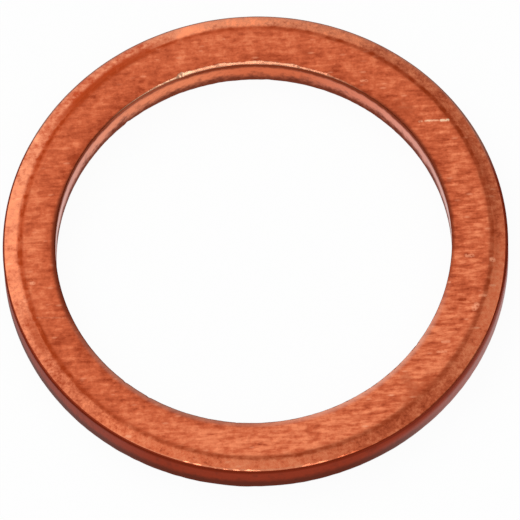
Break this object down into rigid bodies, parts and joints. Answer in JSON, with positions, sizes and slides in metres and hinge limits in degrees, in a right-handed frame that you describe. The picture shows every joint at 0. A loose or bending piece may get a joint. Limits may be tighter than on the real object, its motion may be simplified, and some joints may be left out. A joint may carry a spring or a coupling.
{
  "type": "copper crush washer",
  "caption": "Flat round copper crush washer with a plain bore, a fine crease near the rim and a narrow sloping outer band. Seals under the head of a drain plug or hollow bolt.",
  "frame": {"origin": "on the bore axis, at the lower face the washer lies on", "axes": "+Z along the bore axis, up through the hole and out of the grained upper face"},
  "size_m": [0.026, 0.0258, 0.0019],
  "materials": {
    "copper": "soft copper, straight-grained faces with a smooth rim band, lightly tarnished"
  },
  "bodies": {
    "root": {"washer": "copper"}
  },
  "joints": []
}
